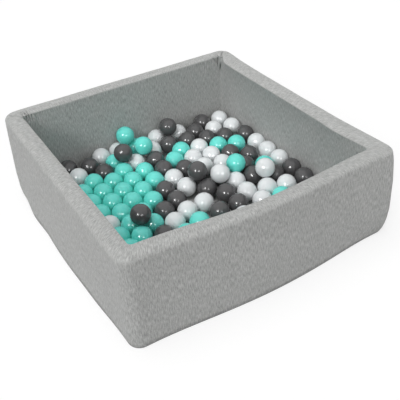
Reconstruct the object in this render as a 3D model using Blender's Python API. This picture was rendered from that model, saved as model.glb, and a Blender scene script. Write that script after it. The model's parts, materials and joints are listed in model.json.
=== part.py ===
"""Square ball pit: foam walls under one jersey cover, a padded floor and a layer of play balls.

Metres, +Z up. The origin lies under the middle of the pit, on the surface it stands on.
The front right wall faces -Y and the front left wall faces -X.
"""
import math

import bmesh
import bpy
from mathutils import Matrix, Vector
from mathutils.bvhtree import BVHTree

# Overall sizes
OUTER_WIDTH = 0.900
HEIGHT = 0.300
CORNER_RADIUS = 0.036
GAP = 0.0003

# Cloth and foam
JERSEY = 0.0016
BASE_CLOTH = 0.0020
WALL_FOAM = 0.0500
MAT_FOAM = 0.0300
OUTER_EDGE_ROUND = 0.0160
INNER_EDGE_ROUND = 0.0100
CROWN_RISE = 0.0020
FRONT_RIGHT_BOW = 0.0220
FRONT_LEFT_FOOT_BOW = 0.0170

# Balls
BALL_DIAMETER = 0.0670
BALL_FACE_STEPS = 2
NECK_SHARE = 0.30
NECK_PULL_SHARE = 0.25
LINK_SLACK = 0.0025

# Zip at the foot of the back left wall
ZIP_END_INSET = 0.1000
ZIP_HEIGHT = 0.0200
ZIP_SLOT_HALF = 0.0140
ZIP_SLOT_STEP = 0.0010
TAPE_THICKNESS = 0.0010
COIL_HEIGHT = 0.0050
COIL_PROUD = 0.0012
STOP_LENGTH = 0.0040
STOP_PROUD = 0.0016
SLIDER_LENGTH = 0.0120
SLIDER_WALL = 0.0015
EAR_WIDTH = 0.0014
BAR_RADIUS = 0.0009
EYE_RADIUS = 0.0032
EYE_BORE = 0.0014
PULL_LENGTH = 0.0260
PULL_THICKNESS = 0.0014
EYE_STEPS = 12

# Worked out from the sizes above
COVER_GAP = JERSEY + GAP
WALL = WALL_FOAM + 2 * COVER_GAP
OUTER_HALF = OUTER_WIDTH / 2
INNER_HALF = OUTER_HALF - WALL
FOOT = BASE_CLOTH + GAP
MAT_TOP = FOOT + MAT_FOAM
FLOOR_TOP = MAT_TOP + GAP + JERSEY
BALL_RADIUS = BALL_DIAMETER / 2
BALL_REST = FLOOR_TOP + GAP + BALL_RADIUS
BALL_REACH = INNER_HALF - BALL_RADIUS - GAP
ZIP_LENGTH = OUTER_WIDTH - 2 * ZIP_END_INSET

# The layer of balls is as wide as the floor, but no narrower than its balls need side by side
LAYER_SPAN_SHARE = 11.8
LAYER_SPAN = max(2 * INNER_HALF, LAYER_SPAN_SHARE * BALL_DIAMETER)

# How finely the wall is cut up
CORNER_TURN_SHARES = (-1.0, -0.5, 0.0)
STRAIGHT_SHARES = (-0.82, -0.42, 0.0, 0.42, 0.82)
EDGE_ANGLES = (0, 45, 90)
WALL_LEVEL_SHARE = 0.26
CORNER_SPREAD = 0.0140
MITRE_ANGLE = math.radians(45)
CROWN_SHARE = 0.5
SHARP_ANGLE = math.radians(40)

# Each wall's outward direction and the direction that runs along it
SIDES = {
    "front_right": (Vector((0, -1, 0)), Vector((1, 0, 0))),
    "back_right": (Vector((1, 0, 0)), Vector((0, 1, 0))),
    "back_left": (Vector((0, 1, 0)), Vector((-1, 0, 0))),
    "front_left": (Vector((-1, 0, 0)), Vector((0, -1, 0))),
}
ZIP_SIDE = "back_left"

# Strings of neighbouring balls in the floor layer, from the left wall to the right one.
# Each ball is a colour letter (w white, g grey, m mint) and its place as shares of the layer's width.
BALL_STRING_SHARES = (
    (("m", .043, .945), ("g", .043, .860), ("w", .050, .772), ("m", .043, .685), ("m", .043, .600),
     ("m", .043, .515), ("w", .043, .430), ("m", .043, .345), ("g", .043, .257), ("m", .043, .170),
     ("m", .043, .085)),
    (("m", .115, .739), ("m", .113, .645), ("m", .115, .557), ("w", .117, .470), ("m", .118, .380),
     ("m", .118, .295), ("g", .118, .210), ("w", .118, .125), ("m", .118, .043)),
    (("g", .132, .957), ("w", .138, .872), ("m", .183, .783), ("m", .180, .692), ("m", .182, .600),
     ("m", .183, .513), ("m", .184, .428), ("m", .187, .338), ("w", .190, .250), ("g", .190, .165),
     ("m", .190, .080)),
    (("g", .216, .925), ("g", .258, .834), ("m", .252, .740), ("m", .254, .645), ("m", .257, .556),
     ("m", .260, .470), ("m", .268, .380), ("g", .268, .285), ("w", .268, .200), ("m", .270, .115)),
    (("w", .300, .957), ("m", .323, .875), ("m", .322, .785), ("m", .326, .697), ("m", .330, .610),
     ("m", .336, .523), ("g", .342, .430), ("w", .338, .340), ("m", .340, .252), ("g", .345, .165),
     ("w", .345, .075)),
    (("w", .410, .818), ("m", .405, .732), ("m", .408, .645), ("g", .412, .555), ("g", .422, .468),
     ("w", .415, .370), ("m", .423, .280), ("w", .420, .195), ("g", .420, .110)),
    (("w", .385, .957), ("m", .470, .945), ("w", .540, .880), ("g", .490, .797), ("g", .483, .705),
     ("w", .487, .610), ("w", .497, .518), ("g", .570, .463), ("g", .620, .388), ("g", .616, .298)),
    (("w", .503, .388), ("g", .525, .300), ("m", .500, .215), ("w", .500, .130), ("g", .500, .045),
     ("m", .585, .045), ("g", .585, .130), ("w", .585, .220)),
    (("w", .588, .957), ("g", .598, .870), ("m", .625, .790), ("m", .560, .738), ("g", .560, .645),
     ("g", .575, .555), ("w", .652, .615), ("w", .642, .702)),
    (("w", .700, .938), ("g", .698, .852), ("w", .712, .765), ("w", .724, .675), ("w", .725, .590),
     ("g", .667, .527), ("w", .700, .435), ("w", .690, .345), ("w", .715, .262), ("g", .700, .175),
     ("m", .700, .090)),
    (("g", .769, .900), ("g", .786, .813), ("m", .795, .728), ("m", .872, .688), ("g", .866, .778),
     ("w", .858, .868), ("g", .845, .957)),
    (("g", .803, .640), ("g", .870, .583), ("g", .806, .515), ("g", .783, .432)),
    (("m", .870, .475), ("g", .866, .385), ("w", .858, .299), ("w", .782, .325), ("m", .800, .235),
     ("w", .800, .150), ("g", .800, .065), ("w", .875, .045), ("m", .880, .130), ("g", .880, .215)),
)

# Loose balls of the floor layer, along the back right wall
LOOSE_FLOOR_SHARES = (
    ("w", .935, .935), ("w", .946, .840), ("g", .957, .742), ("w", .957, .650), ("w", .957, .563),
    ("w", .957, .475), ("g", .957, .385), ("g", .955, .293), ("w", .957, .207), ("g", .957, .120),
    ("m", .957, .043),
)

# Loose balls that lie on top of the floor layer
LOOSE_TOP_SHARES = (
    ("m", .424, .956), ("m", .450, .839), ("m", .713, .478), ("g", .346, .824), ("g", .630, .924),
    ("g", .549, .511), ("g", .214, .373), ("w", .625, .430), ("w", .797, .361),
)

BALL_COLOURS = {"w": "white", "g": "grey", "m": "mint"}
DRAW_ROUNDS = 40
DRAW_SHARE = 0.25
EASE_ROUNDS = 4000
EASE_EXTRA_SHARE = 0.3
ROLL_DIRECTIONS = 16
ROLL_STEP_SHARE = 0.05
SEAT_STEP = 0.0001
SEAT_DEPTH = 0.0060


def clear_scene():
    for item in list(bpy.data.objects):
        bpy.data.objects.remove(item, do_unlink=True)


def make_collection(name):
    collection = bpy.data.collections.new(name)
    bpy.context.scene.collection.children.link(collection)
    return collection


def make_material(name, colour, roughness, metallic=0.0):
    material = bpy.data.materials.new(name)
    material.use_nodes = True
    shader = material.node_tree.nodes["Principled BSDF"]
    shader.inputs["Base Color"].default_value = (*colour, 1.0)
    shader.inputs["Roughness"].default_value = roughness
    shader.inputs["Metallic"].default_value = metallic
    return material


def mesh_object(name, bm, materials, collection, location=(0, 0, 0)):
    """Close off a bmesh as a named object, smooth but for its sharp edges."""
    bmesh.ops.triangulate(bm, faces=bm.faces[:])
    bmesh.ops.recalc_face_normals(bm, faces=bm.faces[:])
    mesh = bpy.data.meshes.new(name)
    bm.to_mesh(mesh)
    bm.free()
    mesh.shade_smooth()
    mesh.set_sharp_from_angle(angle=SHARP_ANGLE)
    for material in materials:
        mesh.materials.append(material)
    item = bpy.data.objects.new(name, mesh)
    item.location = location
    collection.objects.link(item)
    return item


def flat_piece(name, outlines, thickness, material, collection, matrix):
    """A flat outline, with any holes, as a 2D curve with thickness, its middle on the matrix."""
    curve = bpy.data.curves.new(name, "CURVE")
    curve.dimensions = "2D"
    curve.fill_mode = "BOTH"
    curve.extrude = thickness / 2
    curve.materials.append(material)
    for outline in outlines:
        spline = curve.splines.new("POLY")
        spline.points.add(len(outline) - 1)
        spline.use_cyclic_u = True
        for point, place in zip(spline.points, outline):
            point.co = (place[0], place[1], 0, 1)
    item = bpy.data.objects.new(name, curve)
    item.matrix_world = matrix
    collection.objects.link(item)
    return item


def curve_made_mesh(item, collection):
    """The curve object as a welded mesh object of the same name and place."""
    bpy.context.view_layer.update()
    evaluated = item.evaluated_get(bpy.context.evaluated_depsgraph_get())
    mesh = bpy.data.meshes.new_from_object(evaluated)
    bm = bmesh.new()
    bm.from_mesh(mesh)
    bmesh.ops.remove_doubles(bm, verts=bm.verts[:], dist=GAP / 10)
    bm.to_mesh(mesh)
    bm.free()
    name = item.name
    matrix = item.matrix_world.copy()
    bpy.data.objects.remove(item, do_unlink=True)
    solid = bpy.data.objects.new(name, mesh)
    solid.matrix_world = matrix
    collection.objects.link(solid)
    return solid


def box_piece(name, low, high, material, collection):
    middle = (Vector(low) + Vector(high)) / 2
    size = Vector(high) - Vector(low)
    bm = bmesh.new()
    bmesh.ops.create_cube(bm, size=1.0, matrix=Matrix.Diagonal((*size, 1.0)))
    return mesh_object(name, bm, [material], collection, middle)


def empty_at(name, place, collection, parent=None):
    item = bpy.data.objects.new(name, None)
    item.location = place
    collection.objects.link(item)
    if parent:
        attach(item, parent)
    return item


def attach(item, parent):
    """Parent an object and leave it where it is."""
    bpy.context.view_layer.update()
    matrix = item.matrix_world.copy()
    item.parent = parent
    item.matrix_parent_inverse = parent.matrix_world.inverted()
    item.matrix_world = matrix


def bow_at(side, along, across_share, z):
    """How far a point of a wall stands out from the straight side."""
    reach = min(abs(along) / INNER_HALF, 1.0)
    swell = (1 - reach * reach) ** 2
    if side == "front_right":
        return FRONT_RIGHT_BOW * swell
    if side == "front_left":
        return FRONT_LEFT_FOOT_BOW * swell * (1 - z / HEIGHT) * (1 - across_share)
    return 0.0


def stations(inset, extra=()):
    """Cuts across one wall: (along, out) of the outer face, then (along, out) of the inner face."""
    arc_centre = OUTER_HALF - CORNER_RADIUS
    radius = CORNER_RADIUS - inset
    inner = INNER_HALF + inset
    found = []
    for sign in (-1, 1):
        for share in CORNER_TURN_SHARES:
            angle = MITRE_ANGLE * abs(share)
            outer = (sign * (arc_centre + radius * math.sin(angle)), arc_centre + radius * math.cos(angle))
            spread = CORNER_SPREAD * (1 - abs(share))
            found.append((outer, (sign * (inner - spread), inner)))
    for along in [share * arc_centre for share in STRAIGHT_SHARES] + list(extra):
        scale = (inner - CORNER_SPREAD) / arc_centre
        found.append(((along, OUTER_HALF - inset), (along * scale, inner)))
    return sorted(found)


def wall_profile(inset, outer_foot):
    """The wall's outline from its outer foot over the top to its inner foot: (share across, height)."""
    width = WALL - 2 * inset
    level = FOOT + WALL_LEVEL_SHARE * (HEIGHT - FOOT)
    edge_top = HEIGHT - CROWN_RISE
    outer_round = OUTER_EDGE_ROUND - inset
    inner_round = INNER_EDGE_ROUND - inset
    points = [(0, outer_foot), (0, level)]
    for degrees in EDGE_ANGLES:
        angle = math.radians(degrees)
        across = outer_round * (1 - math.cos(angle)) / width
        points.append((across, edge_top - OUTER_EDGE_ROUND + outer_round * math.sin(angle)))
    points.append((CROWN_SHARE, HEIGHT - inset))
    for degrees in reversed(EDGE_ANGLES):
        angle = math.radians(degrees)
        across = 1 - inner_round * (1 - math.cos(angle)) / width
        points.append((across, edge_top - INNER_EDGE_ROUND + inner_round * math.sin(angle)))
    return points + [(1, level), (1, FOOT)]


def wall_point(side, station, across_share, z, shift=0.0):
    """A point of a wall, from its station and its share of the way from the outer to the inner face."""
    outward, onward = SIDES[side]
    (outer_along, outer_out), (inner_along, inner_out) = station
    along = outer_along + (inner_along - outer_along) * across_share
    out = outer_out + (inner_out - outer_out) * across_share
    out += bow_at(side, along, across_share, z)
    return onward * (along + shift) + outward * out + Vector((0, 0, z))


def loft(bm, sections, closed):
    """Skin a row of closed sections, and cap its ends unless the row closes on itself."""
    rows = [[bm.verts.new(point) for point in section] for section in sections]
    count = len(rows[0])
    pairs = list(zip(rows, rows[1:]))
    if closed:
        pairs.append((rows[-1], rows[0]))
    else:
        bm.faces.new(rows[0])
        bm.faces.new(reversed(rows[-1]))
    for row, following in pairs:
        for k in range(count):
            n = (k + 1) % count
            bm.faces.new((row[k], following[k], following[n], row[n]))


def make_foam_wall(side, material, collection):
    """One foam slab, mitred to its neighbours."""
    cuts = stations(COVER_GAP)
    sections = []
    for place, cut in enumerate(cuts):
        shift = 0.0
        if place == 0:
            shift = GAP
        if place == len(cuts) - 1:
            shift = -GAP
        profile = wall_profile(COVER_GAP, FOOT)
        sections.append([wall_point(side, cut, across, z, shift) for across, z in profile])
    bm = bmesh.new()
    loft(bm, sections, closed=False)
    return mesh_object("foam_wall_" + side, bm, [material], collection)


def zip_cuts():
    """Extra cuts of the zip's wall: the slot's two ends, each a short step wide."""
    end = ZIP_LENGTH / 2
    return (-end - ZIP_SLOT_STEP, -end, end, end + ZIP_SLOT_STEP)


def make_wall_cover(material, collection):
    """The jersey cover: an upside down channel that runs round all four walls, with a slot for the zip."""
    sections = []
    for side in SIDES:
        extra = zip_cuts() if side == ZIP_SIDE else ()
        skins = [stations(inset, extra) for inset in (0, JERSEY)]
        for outer_cut, inner_cut in list(zip(*skins))[:-1]:
            in_slot = side == ZIP_SIDE and abs(outer_cut[0][0]) <= ZIP_LENGTH / 2
            foot = ZIP_HEIGHT + ZIP_SLOT_HALF if in_slot else FOOT
            outside = [wall_point(side, outer_cut, across, z) for across, z in wall_profile(0, foot)]
            inside = [wall_point(side, inner_cut, across, z) for across, z in wall_profile(JERSEY, foot)]
            sections.append(outside + inside[::-1])
    bm = bmesh.new()
    loft(bm, sections, closed=True)
    return mesh_object("wall_cover", bm, [material], collection)


def ring_outline(inset, across_share):
    """The plan outline of all four walls' outer or inner faces at the floor."""
    points = []
    for side in SIDES:
        for cut in stations(inset)[:-1]:
            point = wall_point(side, cut, across_share, 0)
            if not points or (point.xy - points[-1]).length > GAP:
                points.append(point.xy)
    return points


def make_floor(materials, collection):
    """The bottom cloth, the foam mat on it and the jersey that lies over the mat."""
    inner = ring_outline(-GAP, 1)
    layers = (
        ("bottom_cloth", ring_outline(0, 0), 0, BASE_CLOTH, "underside"),
        ("floor_mat", inner, FOOT, MAT_FOAM, "foam"),
        ("floor_cover", inner, MAT_TOP + GAP, JERSEY, "jersey"),
    )
    for name, outline, low, thickness, material in layers:
        matrix = Matrix.Translation((0, 0, low + thickness / 2))
        flat_piece(name, [outline], thickness, materials[material], collection, matrix)


def make_zip(materials, collection):
    """The zip that closes the cover at the foot of the back left wall, with its slider and pull."""
    face = OUTER_HALF
    back = face - JERSEY
    half = ZIP_LENGTH / 2 - GAP
    coil_half = COIL_HEIGHT / 2
    coil_end = half - STOP_LENGTH - GAP
    low, high = ZIP_HEIGHT - coil_half, ZIP_HEIGHT + coil_half
    tape_out = back + TAPE_THICKNESS
    tape_top = ZIP_HEIGHT + ZIP_SLOT_HALF - GAP
    tape, coil, metal = materials["tape"], materials["coil"], materials["metal"]
    box_piece("zip_tape_lower", (-half, back, FOOT), (half, tape_out, low - GAP), tape, collection)
    box_piece("zip_tape_upper", (-half, back, high + GAP), (half, tape_out, tape_top), tape, collection)
    box_piece("zip_coil", (-coil_end, back, low), (coil_end, face + COIL_PROUD, high), coil, collection)
    for name, start in (("zip_stop_left", -half), ("zip_stop_right", half - STOP_LENGTH)):
        end = (start + STOP_LENGTH, face + STOP_PROUD, high)
        box_piece(name, (start, back, low), end, metal, collection)

    # The slider is a channel over the coil, with a bail that stands out from it
    slider_x = coil_end - SLIDER_LENGTH / 2 - GAP
    lip = tape_out + GAP
    plate_in = face + COIL_PROUD + GAP
    plate_out = plate_in + SLIDER_WALL
    mouth = coil_half + GAP
    shell = mouth + SLIDER_WALL
    channel = [(lip, -shell), (plate_out, -shell), (plate_out, shell), (lip, shell),
               (lip, mouth), (plate_in, mouth), (plate_in, -mouth), (lip, -mouth)]
    bar = plate_out + EYE_RADIUS + GAP
    bail_out = bar + BAR_RADIUS
    bail_in = bar - BAR_RADIUS
    leg = shell - EAR_WIDTH
    root = plate_out - SLIDER_WALL / 2
    bail = [(root, -shell), (bail_out, -shell), (bail_out, shell), (root, shell),
            (root, leg), (bail_in, leg), (bail_in, -leg), (root, -leg)]
    upright = Matrix.Translation((slider_x, 0, ZIP_HEIGHT)) @ Matrix(
        ((0, 0, 1, 0), (1, 0, 0, 0), (0, 1, 0, 0), (0, 0, 0, 1)))
    slider = flat_piece("zip_slider", [channel], SLIDER_LENGTH, metal, collection, upright)
    slider = curve_made_mesh(slider, collection)
    cutters = make_collection("cutters")
    loop = flat_piece("bail_guide", [bail], 2 * BAR_RADIUS, metal, cutters, upright)
    loop = curve_made_mesh(loop, cutters)
    loop.hide_render = True
    loop.display_type = "WIRE"
    join = slider.modifiers.new("bail", "BOOLEAN")
    join.operation = "UNION"
    join.object = loop

    # The pull is a tab whose eye goes round the bail's bar
    tab = PULL_THICKNESS / 2
    turn = math.asin(tab / EYE_RADIUS)
    eye = []
    for k in range(EYE_STEPS + 1):
        angle = turn + (2 * math.pi - 2 * turn) * k / EYE_STEPS
        eye.append((EYE_RADIUS * math.cos(angle), EYE_RADIUS * math.sin(angle)))
    outline = eye + [(PULL_LENGTH, -tab), (PULL_LENGTH, tab)]
    bore = []
    for k in range(EYE_STEPS):
        angle = 2 * math.pi * k / EYE_STEPS
        bore.append((EYE_BORE * math.cos(angle), EYE_BORE * math.sin(angle)))
    pull_place = Matrix.Translation((slider_x, bar, ZIP_HEIGHT)) @ Matrix.Rotation(math.pi, 4, "Z")
    pull = flat_piece("zip_pull", [outline, bore], 2 * (leg - GAP), metal, collection, pull_place)

    slide = empty_at("zip_slide", (slider_x, bar, ZIP_HEIGHT), collection)
    hinge = empty_at("zip_pull_hinge", (slider_x, bar, ZIP_HEIGHT), collection, slide)
    attach(slider, slide)
    attach(pull, hinge)


def across(share):
    """A share of the layer's width as a distance from the pit's middle; the layer ends at the back walls."""
    return INNER_HALF - (1 - share) * LAYER_SPAN


def balls_at(shares):
    """Balls of a table, each a colour letter and its place on the floor."""
    return [(letter, [across(x), across(y)]) for letter, x, y in shares]


def stands_inside(ball):
    """Whether a ball's place is clear of the walls: a layer wider than the floor loses its outer balls."""
    _, place = ball
    return max(abs(place[0]), abs(place[1])) <= BALL_REACH


def longest_run(string):
    """The longest unbroken stretch of a string whose balls all stand inside the walls."""
    best = run = []
    for ball in string:
        run = run + [ball] if stands_inside(ball) else []
        best = max(best, run, key=len)
    return best


def keep_inside(place):
    """Hold a ball's middle clear of the four walls."""
    front = BALL_REACH + bow_at("front_right", place[0], 1, 0)
    place[0] = max(-BALL_REACH, min(BALL_REACH, place[0]))
    place[1] = max(-front, min(BALL_REACH, place[1]))


def draw_together(links, reach):
    """Bring the neighbours of each link that stand further apart than reach half way back to it."""
    for place, other in links:
        dx, dy = place[0] - other[0], place[1] - other[1]
        apart = math.hypot(dx, dy)
        if apart > reach:
            pull = (apart - reach) / apart * DRAW_SHARE
            place[0] -= dx * pull
            place[1] -= dy * pull
            other[0] += dx * pull
            other[1] += dy * pull


def ease_apart(places, links):
    """Draw linked balls together, then push balls that are too close apart until they all fit."""
    need = BALL_DIAMETER + GAP + EASE_EXTRA_SHARE * GAP
    for turn in range(EASE_ROUNDS):
        if turn < DRAW_ROUNDS:
            draw_together(links, need + LINK_SLACK)
        worst = 0.0
        for i, place in enumerate(places):
            for other in places[:i]:
                dx, dy = place[0] - other[0], place[1] - other[1]
                apart = math.hypot(dx, dy)
                if apart >= need:
                    continue
                worst = max(worst, need - apart)
                push = (need - apart) / apart / 2
                place[0] += dx * push
                place[1] += dy * push
                other[0] -= dx * push
                other[1] -= dy * push
        for place in places:
            keep_inside(place)
        if turn >= DRAW_ROUNDS and worst < EASE_EXTRA_SHARE * GAP / 2:
            break


def rest_height(place, below):
    """The height at which a ball over this place lies on the balls below."""
    need = BALL_DIAMETER + GAP
    height = BALL_REST
    for x, y, z in below:
        room = need * need - (place[0] - x) ** 2 - (place[1] - y) ** 2
        if room > 0:
            height = max(height, z + math.sqrt(room))
    return height


def roll_down(place, below):
    """Let a ball roll into the nearest hollow between the balls below."""
    place = list(place)
    height = rest_height(place, below)
    step = BALL_DIAMETER * ROLL_STEP_SHARE
    while step > GAP / 10:
        best = None
        for k in range(ROLL_DIRECTIONS):
            angle = 2 * math.pi * k / ROLL_DIRECTIONS
            trial = [place[0] + step * math.cos(angle), place[1] + step * math.sin(angle)]
            keep_inside(trial)
            low = rest_height(trial, below)
            if low < height - GAP / 1000 and (best is None or low < best[0]):
                best = (low, trial)
        if best:
            height, place = best
        else:
            step /= 2
    return Vector((place[0], place[1], height))


def ball_shape(radius=BALL_RADIUS, place=(0, 0, 0), bm=None, colour_index=0):
    bm = bm or bmesh.new()
    made = bmesh.ops.create_icosphere(
        bm, subdivisions=BALL_FACE_STEPS, radius=radius, matrix=Matrix.Translation(place))
    faces = {face for vert in made["verts"] for face in vert.link_faces}
    for face in faces:
        face.material_index = colour_index
    return bm, faces


def facet_towards(faces, centre, direction):
    """The facet that a line from the ball's middle leaves through, and the point where it does."""
    best = None
    for face in sorted((f for f in faces if f.is_valid), key=lambda f: tuple(f.calc_center_median())):
        facing = face.normal.dot(direction)
        if facing <= 0:
            continue
        reach = face.normal.dot(face.verts[0].co - centre) / facing
        if best is None or reach < best[0]:
            best = (reach, face)
    return best[1], centre + direction * best[0]


def open_facet(bm, faces, centre, direction):
    """Cut a small window in the facet towards a neighbour and return its three corners."""
    face, point = facet_towards(faces, centre, direction)
    point = point.lerp(face.calc_center_median(), NECK_PULL_SHARE)
    corners = list(face.verts)
    colour = face.material_index
    window = [bm.verts.new(point.lerp(corner.co, NECK_SHARE)) for corner in corners]
    faces.discard(face)
    bm.faces.remove(face)
    for k in range(3):
        n = (k + 1) % 3
        rim = bm.faces.new((corners[k], corners[n], window[n], window[k]))
        rim.material_index = colour
    return window, colour


def join_balls(bm, first, second):
    """Join two neighbouring balls by a short neck where they touch."""
    direction = (second[0] - first[0]).normalized()
    near, colour = open_facet(bm, first[1], first[0], direction)
    far, _ = open_facet(bm, second[1], second[0], -direction)
    turns = []
    for turn in range(3):
        order = [far[(turn - k) % 3] for k in range(3)]
        turns.append((sum((a.co - b.co).length for a, b in zip(near, order)), turn, order))
    order = min(turns, key=lambda item: item[:2])[2]
    for k in range(3):
        n = (k + 1) % 3
        side = bm.faces.new((near[k], near[n], order[n], order[k]))
        side.material_index = colour


def make_ball_string(name, balls, materials, collection):
    """A string of neighbouring balls, joined where they touch."""
    bm = bmesh.new()
    letters = list(BALL_COLOURS)
    made = []
    for letter, place in balls:
        _, faces = ball_shape(BALL_RADIUS, place, bm, letters.index(letter))
        made.append((Vector(place), faces))
    bm.normal_update()
    for first, second in zip(made, made[1:]):
        join_balls(bm, first, second)
    return mesh_object(name, bm, [materials[BALL_COLOURS[letter]] for letter in letters], collection)


def tree_of(item):
    """A search tree of an object's mesh in the world."""
    bpy.context.view_layer.update()
    mesh = item.data
    corners = [item.matrix_world @ vert.co for vert in mesh.vertices]
    return BVHTree.FromPolygons(corners, [tuple(face.vertices) for face in mesh.polygons])


def seat(place, trees):
    """Lower a ball until its facets all but touch the balls that carry it."""
    lowest = place.copy()
    depth = SEAT_STEP
    while depth < SEAT_DEPTH:
        trial = place - Vector((0, 0, depth))
        bm, _ = ball_shape(BALL_RADIUS + GAP, trial)
        tree = BVHTree.FromBMesh(bm)
        bm.free()
        if any(tree.overlap(other) for other in trees):
            break
        lowest = trial
        depth += SEAT_STEP
    return lowest


def make_balls(materials, collection):
    """The layer of balls on the floor and the loose balls that lie on it."""
    strings = [longest_run(balls_at(string)) for string in BALL_STRING_SHARES]
    strings = [string for string in strings if string]
    loose = [ball for ball in balls_at(LOOSE_FLOOR_SHARES) if stands_inside(ball)]
    links = [(a[1], b[1]) for string in strings for a, b in zip(string, string[1:])]
    ease_apart([place for string in strings for _, place in string] + [place for _, place in loose], links)
    bed = empty_at("ball_bed", (0, 0, BALL_REST), collection)
    below = []
    trees = []
    for number, string in enumerate(strings, 1):
        balls = [(letter, (x, y, BALL_REST)) for letter, (x, y) in string]
        below += [place for _, place in balls]
        item = make_ball_string(f"ball_string_{number:02d}", balls, materials, collection)
        attach(item, bed)
        trees.append(tree_of(item))

    shapes = {}
    for letter, colour in BALL_COLOURS.items():
        bm, _ = ball_shape()
        pattern = mesh_object(colour, bm, [materials[colour]], collection)
        shapes[letter] = pattern.data
        bpy.data.objects.remove(pattern, do_unlink=True)

    counts = dict.fromkeys(BALL_COLOURS, 0)

    def place_ball(letter, place):
        counts[letter] += 1
        name = f"ball_{BALL_COLOURS[letter]}_{counts[letter]:02d}"
        item = bpy.data.objects.new(name, shapes[letter])
        item.location = place
        collection.objects.link(item)
        attach(item, bed)
        trees.append(tree_of(item))

    for letter, (x, y) in loose:
        place_ball(letter, (x, y, BALL_REST))
        below.append((x, y, BALL_REST))
    for letter, place in filter(stands_inside, balls_at(LOOSE_TOP_SHARES)):
        rest = seat(roll_down(place, below), trees)
        place_ball(letter, rest)
        below.append(tuple(rest))


def main():
    clear_scene()
    pit = make_collection("ball_pit")
    materials = {
        "jersey": make_material("grey_melange_jersey", (0.40, 0.41, 0.40), 0.95),
        "foam": make_material("pale_foam", (0.80, 0.79, 0.74), 0.90),
        "underside": make_material("grey_bottom_cloth", (0.22, 0.22, 0.22), 0.90),
        "tape": make_material("grey_zip_tape", (0.30, 0.31, 0.30), 0.85),
        "coil": make_material("grey_zip_coil", (0.25, 0.25, 0.25), 0.45),
        "metal": make_material("zinc_zip_metal", (0.62, 0.62, 0.64), 0.35, 1.0),
        "white": make_material("white_ball_plastic", (0.85, 0.86, 0.86), 0.22),
        "grey": make_material("grey_ball_plastic", (0.09, 0.09, 0.095), 0.22),
        "mint": make_material("mint_ball_plastic", (0.13, 0.72, 0.60), 0.22),
    }
    for side in SIDES:
        make_foam_wall(side, materials["foam"], pit)
    make_wall_cover(materials["jersey"], pit)
    make_floor(materials, pit)
    make_zip(materials, pit)
    make_balls(materials, pit)


main()
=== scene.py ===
"""The looks of a square ball pit: a grey jersey cover over foam walls, a padded floor, a zip and play balls.

Metres, +Z up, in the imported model's frame. The front right wall faces -Y, the front left wall -X.
"""
import json
import math
import random

import bmesh
import bpy
import numpy as np
from mathutils import Euler, Matrix, Vector, noise


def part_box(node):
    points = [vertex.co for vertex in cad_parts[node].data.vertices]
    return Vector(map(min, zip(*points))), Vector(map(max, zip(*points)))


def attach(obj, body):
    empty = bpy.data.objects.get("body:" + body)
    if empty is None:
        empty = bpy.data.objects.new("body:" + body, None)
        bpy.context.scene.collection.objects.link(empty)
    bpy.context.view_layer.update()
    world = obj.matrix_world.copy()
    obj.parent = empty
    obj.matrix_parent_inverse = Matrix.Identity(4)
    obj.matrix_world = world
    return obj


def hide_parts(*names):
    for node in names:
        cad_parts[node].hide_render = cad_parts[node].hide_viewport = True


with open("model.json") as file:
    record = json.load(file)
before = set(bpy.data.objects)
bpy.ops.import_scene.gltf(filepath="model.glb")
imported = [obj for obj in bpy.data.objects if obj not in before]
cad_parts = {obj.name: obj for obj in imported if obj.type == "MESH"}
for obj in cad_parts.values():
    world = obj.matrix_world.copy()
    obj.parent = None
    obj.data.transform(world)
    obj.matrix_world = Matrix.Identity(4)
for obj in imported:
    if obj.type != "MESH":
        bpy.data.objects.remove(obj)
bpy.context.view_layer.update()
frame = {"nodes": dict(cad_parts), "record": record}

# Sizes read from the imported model, and the gap that its pieces keep
GAP = 0.0003
OUTER_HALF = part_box("wall_cover")[1].x
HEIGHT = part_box("wall_cover")[1].z
BASE_LOW, BASE_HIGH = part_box("bottom_cloth")
FRONT_RIGHT_BOW = -BASE_LOW.y - OUTER_HALF
FRONT_LEFT_FOOT_BOW = -BASE_LOW.x - OUTER_HALF
MAT_LOW, MAT_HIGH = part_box("floor_mat")
INNER_HALF = MAT_HIGH.x + GAP
WALL = OUTER_HALF - INNER_HALF
FOOT = BASE_HIGH.z + GAP
FLOOR_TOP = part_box("floor_cover")[1].z
BALL_RADIUS = (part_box("ball_white_01")[1].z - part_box("ball_white_01")[0].z) / 2
BALL_REST = FLOOR_TOP + GAP + BALL_RADIUS
SLOT_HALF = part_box("zip_tape_upper")[1].x + GAP
SLOT_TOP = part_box("zip_tape_upper")[1].z + GAP

# The wall's own shape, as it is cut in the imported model
CORNER_RADIUS = 0.036
OUTER_EDGE_ROUND = 0.016
INNER_EDGE_ROUND = 0.005
INNER_CORNER_ROUND = 0.012
CROWN_RISE = 0.002
MITRE_ANGLE = math.radians(45)
JERSEY = 0.0014

# How finely the cover is drawn
WALL_STEP = 0.012
WALL_RISE = 0.014
PLEAT_STEP = 0.0014
PLEAT_RISE = 0.005
PLEAT_ZONE = 0.080
PLEAT_ZONE_DEPTH = 0.070
CORNER_STEPS = 15
EDGE_STEPS = 7
CROWN_STEPS = 10
SLOT_STEP = 0.001

# How the foam slabs and the floor's layers are drawn
FOAM_RISE = 0.020
FOAM_STEP = 0.030
FOAM_SHARP_ANGLE = math.radians(40)
SHEET_EDGE = 0.004
BOTTOM_SHEET_RINGS = 10
FLOOR_FOAM_RINGS = 16
FLOOR_JERSEY_RINGS = 60

# The slow waves and the small ripples of the jersey
WAVE_DEPTH = 0.0012
WAVES_PER_METRE = 7.0
RIPPLE_DEPTH = 0.0003
RIPPLES_PER_METRE = 26.0

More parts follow.
